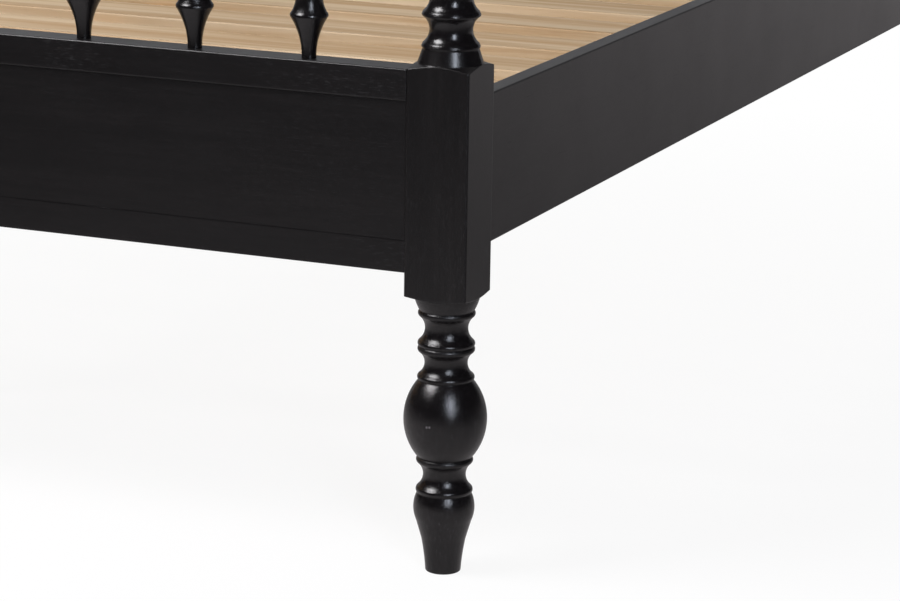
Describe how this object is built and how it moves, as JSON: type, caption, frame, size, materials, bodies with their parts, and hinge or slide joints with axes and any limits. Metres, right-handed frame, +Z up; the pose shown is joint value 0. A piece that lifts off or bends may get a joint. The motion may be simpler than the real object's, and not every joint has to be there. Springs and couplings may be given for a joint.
{
  "type": "spindle bed",
  "caption": "Wooden bed with turned posts and feet, bobbin spindles over a panelled head and foot, side rails and a slatted base.",
  "frame": {"origin": "on the floor under the middle of the bed", "axes": "+Y along the bed from the foot to the head, +X to the right of someone who stands at the foot and faces the bed, +Z up"},
  "size_m": [1.6108, 2.1996, 1.2274],
  "materials": {
    "black_wood": "black satin lacquer with a faint open grain",
    "slat_wood": "planed, unfinished pale softwood",
    "zinc_steel": "bright zinc plate",
    "leveller_steel": "black screw foot"
  },
  "bodies": {
    "bed": {"beam_hanger_foot": "zinc_steel", "beam_hanger_head": "zinc_steel", "beam_hanger_screws": "zinc_steel", "centre_beam": "slat_wood", "centre_leg_1": "black_wood", "centre_leg_2": "black_wood", "centre_leg_bolts": "zinc_steel", "footboard_lower_rail": "black_wood", "footboard_panel": "black_wood", "footboard_spindle_01": "black_wood", "footboard_spindle_02": "black_wood", "footboard_spindle_03": "black_wood", "footboard_spindle_04": "black_wood", "footboard_spindle_05": "black_wood", "footboard_spindle_06": "black_wood", "footboard_spindle_07": "black_wood", "footboard_spindle_08": "black_wood", "footboard_spindle_09": "black_wood", "footboard_spindle_10": "black_wood", "footboard_spindle_11": "black_wood", "footboard_spindle_rail": "black_wood", "footboard_top_rail": "black_wood", "headboard_lower_rail": "black_wood", "headboard_panel": "black_wood", "headboard_spindle_01": "black_wood", "headboard_spindle_02": "black_wood", "headboard_spindle_03": "black_wood", "headboard_spindle_04": "black_wood", "headboard_spindle_05": "black_wood", "headboard_spindle_06": "black_wood", "headboard_spindle_07": "black_wood", "headboard_spindle_08": "black_wood", "headboard_spindle_09": "black_wood", "headboard_spindle_10": "black_wood", "headboard_spindle_11": "black_wood", "headboard_spindle_rail": "black_wood", "headboard_top_rail": "black_wood", "ledger_screws": "zinc_steel", "leveller_nuts": "zinc_steel", "post_foot_left": "black_wood", "post_foot_right": "black_wood", "post_head_left": "black_wood", "post_head_right": "black_wood", "post_threaded_inserts": "zinc_steel", "rail_angle_bolts": "zinc_steel", "rail_angle_screws": "zinc_steel", "rail_angles": "zinc_steel", "side_rail_left": "black_wood", "side_rail_right": "black_wood", "slat_ledger_left": "slat_wood", "slat_ledger_right": "slat_wood", "slat_screws": "zinc_steel", "slats": "slat_wood", "turned_foot_bolts": "zinc_steel", "turned_foot_foot_left": "black_wood", "turned_foot_foot_right": "black_wood", "turned_foot_head_left": "black_wood", "turned_foot_head_right": "black_wood"},
    "leveller_1_body": {"leveller_1": "leveller_steel"},
    "leveller_2_body": {"leveller_2": "leveller_steel"}
  },
  "joints": [
    {"name": "leveller_1_height", "type": "slide", "parent": "bed", "child": "leveller_1_body", "axis": [0, 0, 1], "range_m": [-0.006, 0.012]},
    {"name": "leveller_2_height", "type": "slide", "parent": "bed", "child": "leveller_2_body", "axis": [0, 0, 1], "range_m": [-0.006, 0.012]}
  ]
}
